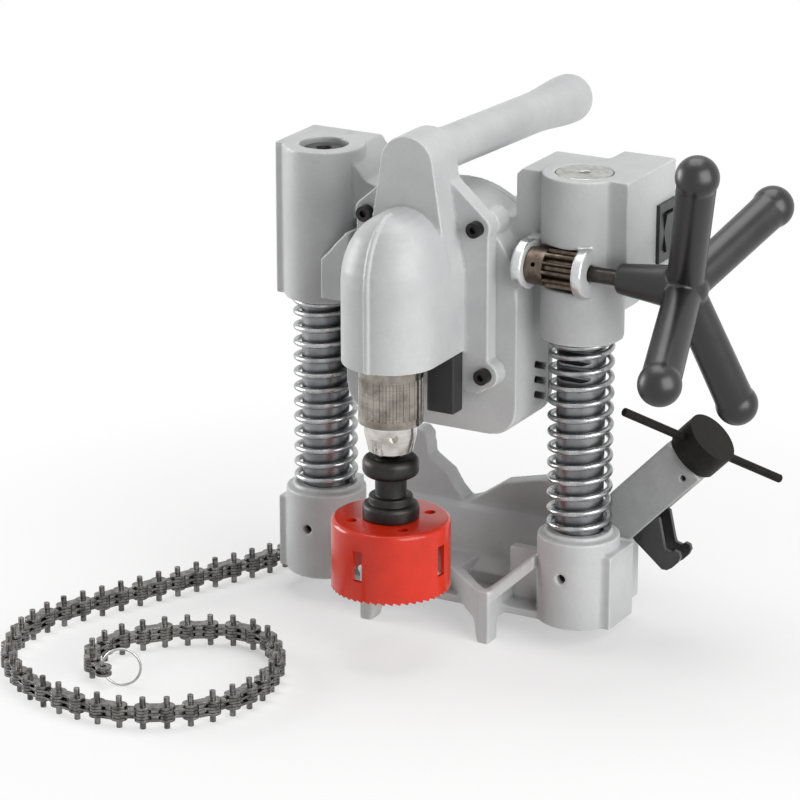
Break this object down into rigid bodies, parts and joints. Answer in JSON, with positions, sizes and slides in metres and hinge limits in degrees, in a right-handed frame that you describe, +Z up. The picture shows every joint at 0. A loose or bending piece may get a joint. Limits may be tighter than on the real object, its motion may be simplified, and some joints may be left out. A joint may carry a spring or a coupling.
{
  "type": "pipe hole cutting machine",
  "caption": "Chain-clamped pipe drilling machine: sprung geared head on twin columns, rack feed with armed handle, chuck and hole saw.",
  "frame": {"origin": "on the floor under the midpoint between the two columns", "axes": "+X from the left column to the right one, -Y towards the cutter, +Z up"},
  "size_m": [0.4275, 0.4494, 0.349],
  "materials": {
    "cast_paint": "light silver-grey enamel over sand-cast alloy",
    "arm_paint": "mid-grey enamel on folded steel",
    "inner_casting": "bare casting with milled faces",
    "ground_steel": "ground bright",
    "spring_steel": "bright drawn wire",
    "gear_steel": "hobbed and oiled",
    "bearing_steel": "ground and polished",
    "bronze": "machined bronze",
    "chuck_steel": "turned and polished",
    "disc_steel": "turned plate",
    "black_oxide": "black oxide",
    "drum_steel": "dark turned steel",
    "hook_paint": "black enamel",
    "chain_steel": "oiled brown-black plates and pins",
    "ring_wire": "bright wire",
    "saw_enamel": "gloss red-orange enamel",
    "handle_plastic": "satin black moulding",
    "holder_rubber": "moulded",
    "switch_plastic": "fine-grained moulding",
    "core_steel": "stacked laminations",
    "copper": "turned copper"
  },
  "bodies": {
    "base": {"base_casting": "cast_paint", "left_column": "ground_steel", "right_column": "ground_steel", "left_spring": "spring_steel", "right_spring": "spring_steel", "column_set_screws": "black_oxide", "stop_disc": "disc_steel", "clamp_arm": "arm_paint", "arm_bolts": "black_oxide", "chain_bracket": "cast_paint", "bracket_screws": "black_oxide", "chain_anchor_pin": "chain_steel"},
    "head": {"head_casting": "cast_paint", "column_bushes": "bronze", "spindle_housing": "cast_paint", "flange_screws": "black_oxide", "carry_handle": "cast_paint", "chuck_key_holder": "holder_rubber", "switch_body": "switch_plastic", "gear_plate": "inner_casting", "motor_housing": "cast_paint", "motor_screws": "black_oxide", "field_core": "core_steel", "brush_holders": "bronze", "rear_cover": "cast_paint", "cover_screws": "black_oxide", "cord_gland": "switch_plastic", "armature_bearings": "bearing_steel", "layshaft_carrier": "inner_casting", "layshaft_bushes": "bronze", "spindle_bearings": "bearing_steel"},
    "rocker": {"switch_rocker": "switch_plastic"},
    "armature": {"armature_shaft": "ground_steel", "armature_core": "core_steel", "commutator": "copper", "cooling_fan": "switch_plastic"},
    "layshaft_group": {"layshaft": "ground_steel", "layshaft_wheel": "gear_steel"},
    "cutter": {"spindle": "ground_steel", "crown_gear": "gear_steel", "chuck_sleeve": "chuck_steel", "chuck_body": "chuck_steel", "chuck_jaws": "chuck_steel", "saw_arbor": "black_oxide", "hole_saw": "saw_enamel", "pilot_drill": "ground_steel"},
    "feed": {"feed_shaft": "ground_steel", "feed_pinion": "gear_steel", "feed_handle": "handle_plastic"},
    "tensioner": {"clamp_screw": "ground_steel", "clamp_drum": "drum_steel", "tommy_bar": "drum_steel"},
    "hook": {"hook_nut": "black_oxide", "chain_hook": "hook_paint"},
    "chain_1": {"chain_run_1": "chain_steel"},
    "chain_2": {"chain_run_2": "chain_steel"},
    "chain_3": {"chain_run_3": "chain_steel"},
    "chain_4": {"chain_run_4": "chain_steel"},
    "chain_5": {"chain_run_5": "chain_steel"},
    "end_ring": {"chain_ring": "ring_wire"}
  },
  "joints": [
    {"name": "head_slide", "type": "slide", "parent": "base", "child": "head", "axis": [0, 0, 1], "range_m": [-0.06, 0], "stiffness_N_per_m": 4000, "springref_m": 0.08, "deforming": ["left_spring", "right_spring"]},
    {"name": "feed_spin", "type": "hinge", "parent": "head", "child": "feed", "pos_m": [0, -0.02318, 0.2545], "axis": [1, 0, 0], "range_deg": [0, 318.31]},
    {"name": "spindle_spin", "type": "hinge", "parent": "head", "child": "cutter", "pos_m": [0, -0.08, 0.1], "axis": [0, 0, 1], "continuous": true},
    {"name": "layshaft_spin", "type": "hinge", "parent": "head", "child": "layshaft_group", "pos_m": [0, 0, 0.23655], "axis": [0, 1, 0], "continuous": true},
    {"name": "armature_spin", "type": "hinge", "parent": "head", "child": "armature", "pos_m": [0, 0, 0.205], "axis": [0, 1, 0], "continuous": true},
    {"name": "switch_tilt", "type": "hinge", "parent": "head", "child": "rocker", "pos_m": [0.127, 0.042, 0.269], "axis": [0, 1, 0], "range_deg": [-8, 8]},
    {"name": "clamp_turn", "type": "hinge", "parent": "base", "child": "tensioner", "pos_m": [0.111, 0.038, 0.08], "axis": [0.6947, 0, 0.7193], "range_deg": [0, 2880]},
    {"name": "hook_slide", "type": "slide", "parent": "base", "child": "hook", "axis": [0.6947, 0, 0.7193], "range_m": [0, 0.024]},
    {"name": "chain_1_swing", "type": "hinge", "parent": "base", "child": "chain_1", "pos_m": [-0.136, 0.034, 0.0105], "axis": [0, 0, 1], "range_deg": [-5, 5]},
    {"name": "chain_2_swing", "type": "hinge", "parent": "chain_1", "child": "chain_2", "pos_m": [-0.19103, -0.1011, 0.0105], "axis": [0, 0, 1], "range_deg": [-5, 5]},
    {"name": "chain_3_swing", "type": "hinge", "parent": "chain_2", "child": "chain_3", "pos_m": [-0.185, -0.23567, 0.0105], "axis": [0, 0, 1], "range_deg": [-5, 5]},
    {"name": "chain_4_swing", "type": "hinge", "parent": "chain_3", "child": "chain_4", "pos_m": [-0.05195, -0.23849, 0.0105], "axis": [0, 0, 1], "range_deg": [-5, 5]},
    {"name": "chain_5_swing", "type": "hinge", "parent": "chain_4", "child": "chain_5", "pos_m": [-0.08091, -0.11606, 0.0105], "axis": [0, 0, 1], "range_deg": [-5, 5]},
    {"name": "end_ring_swing", "type": "hinge", "parent": "chain_5", "child": "end_ring", "pos_m": [-0.13261, -0.21174, 0.0105], "axis": [0, 0, 1], "range_deg": [-5, 5]}
  ],
  "couplings": [
    {"joint": "feed_spin", "follows": "head_slide", "rad_per_m": -92.593},
    {"joint": "layshaft_spin", "follows": "spindle_spin", "ratio": 3.6},
    {"joint": "armature_spin", "follows": "spindle_spin", "ratio": -14.4},
    {"joint": "hook_slide", "follows": "clamp_turn", "m_per_rad": 0.00047746}
  ]
}
